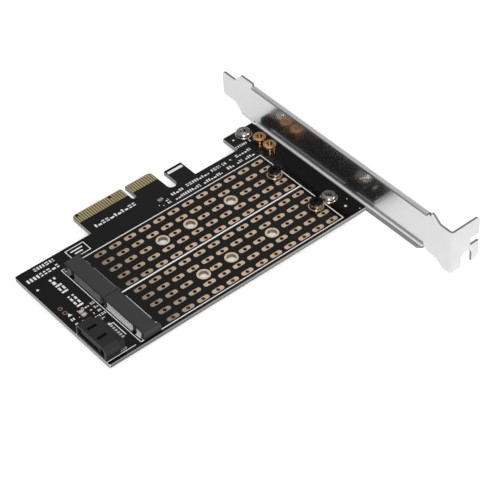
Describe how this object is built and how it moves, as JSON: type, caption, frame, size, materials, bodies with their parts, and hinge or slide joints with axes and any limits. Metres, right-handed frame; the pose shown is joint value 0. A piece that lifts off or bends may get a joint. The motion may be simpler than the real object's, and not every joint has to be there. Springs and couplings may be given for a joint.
{
  "type": "nvme adapter card",
  "caption": "Short computer expansion card with a keyed card edge, two drive module sockets side by side, a cable socket, heat pads in rows and a full-height slot bracket.",
  "frame": {"origin": "on the tip line of the card edge, on the centre line of its key notch, at half the board's thickness", "axes": "+X along the board towards the slot bracket, +Y out of the card edge, +Z out of the board's component side"},
  "size_m": [0.1256, 0.12, 0.0211],
  "materials": {
    "board_mask": "near-black glossy solder mask with pale bare edges",
    "finger_gold": "thin gold plating on the card edge",
    "pad_gold": "bare gold-plated copper pads",
    "ring_gold": "plated rings and sleeves",
    "bracket_steel": "bright nickel-plated sheet steel",
    "screw_steel": "bright plated steel screws",
    "socket_plastic": "dark grey moulded plastic",
    "contact_metal": "tinned contact tails",
    "cable_socket_plastic": "black moulded plastic",
    "standoff_brass": "turned copper-coloured brass",
    "module_screw_black": "black plated screws",
    "chip_ceramic": "brownish ceramic",
    "terminal_tin": "tinned terminals"
  },
  "bodies": {
    "root": {"circuit_board": "board_mask", "edge_fingers_front": "finger_gold", "edge_fingers_back": "finger_gold", "thermal_pads": "pad_gold", "mounting_hole_rings": "ring_gold", "m_key_socket_housing": "socket_plastic", "b_key_socket_housing": "socket_plastic", "m_key_socket_contacts": "contact_metal", "b_key_socket_contacts": "contact_metal", "drive_socket_hold_downs": "contact_metal", "cable_socket_housing": "cable_socket_plastic", "cable_socket_contacts": "contact_metal", "cable_socket_hold_downs": "contact_metal", "slot_bracket": "bracket_steel", "bracket_screws": "screw_steel", "module_standoffs": "standoff_brass", "spare_standoffs": "standoff_brass", "module_screws": "module_screw_black", "chip_bodies": "chip_ceramic", "chip_terminals": "terminal_tin"}
  },
  "joints": []
}
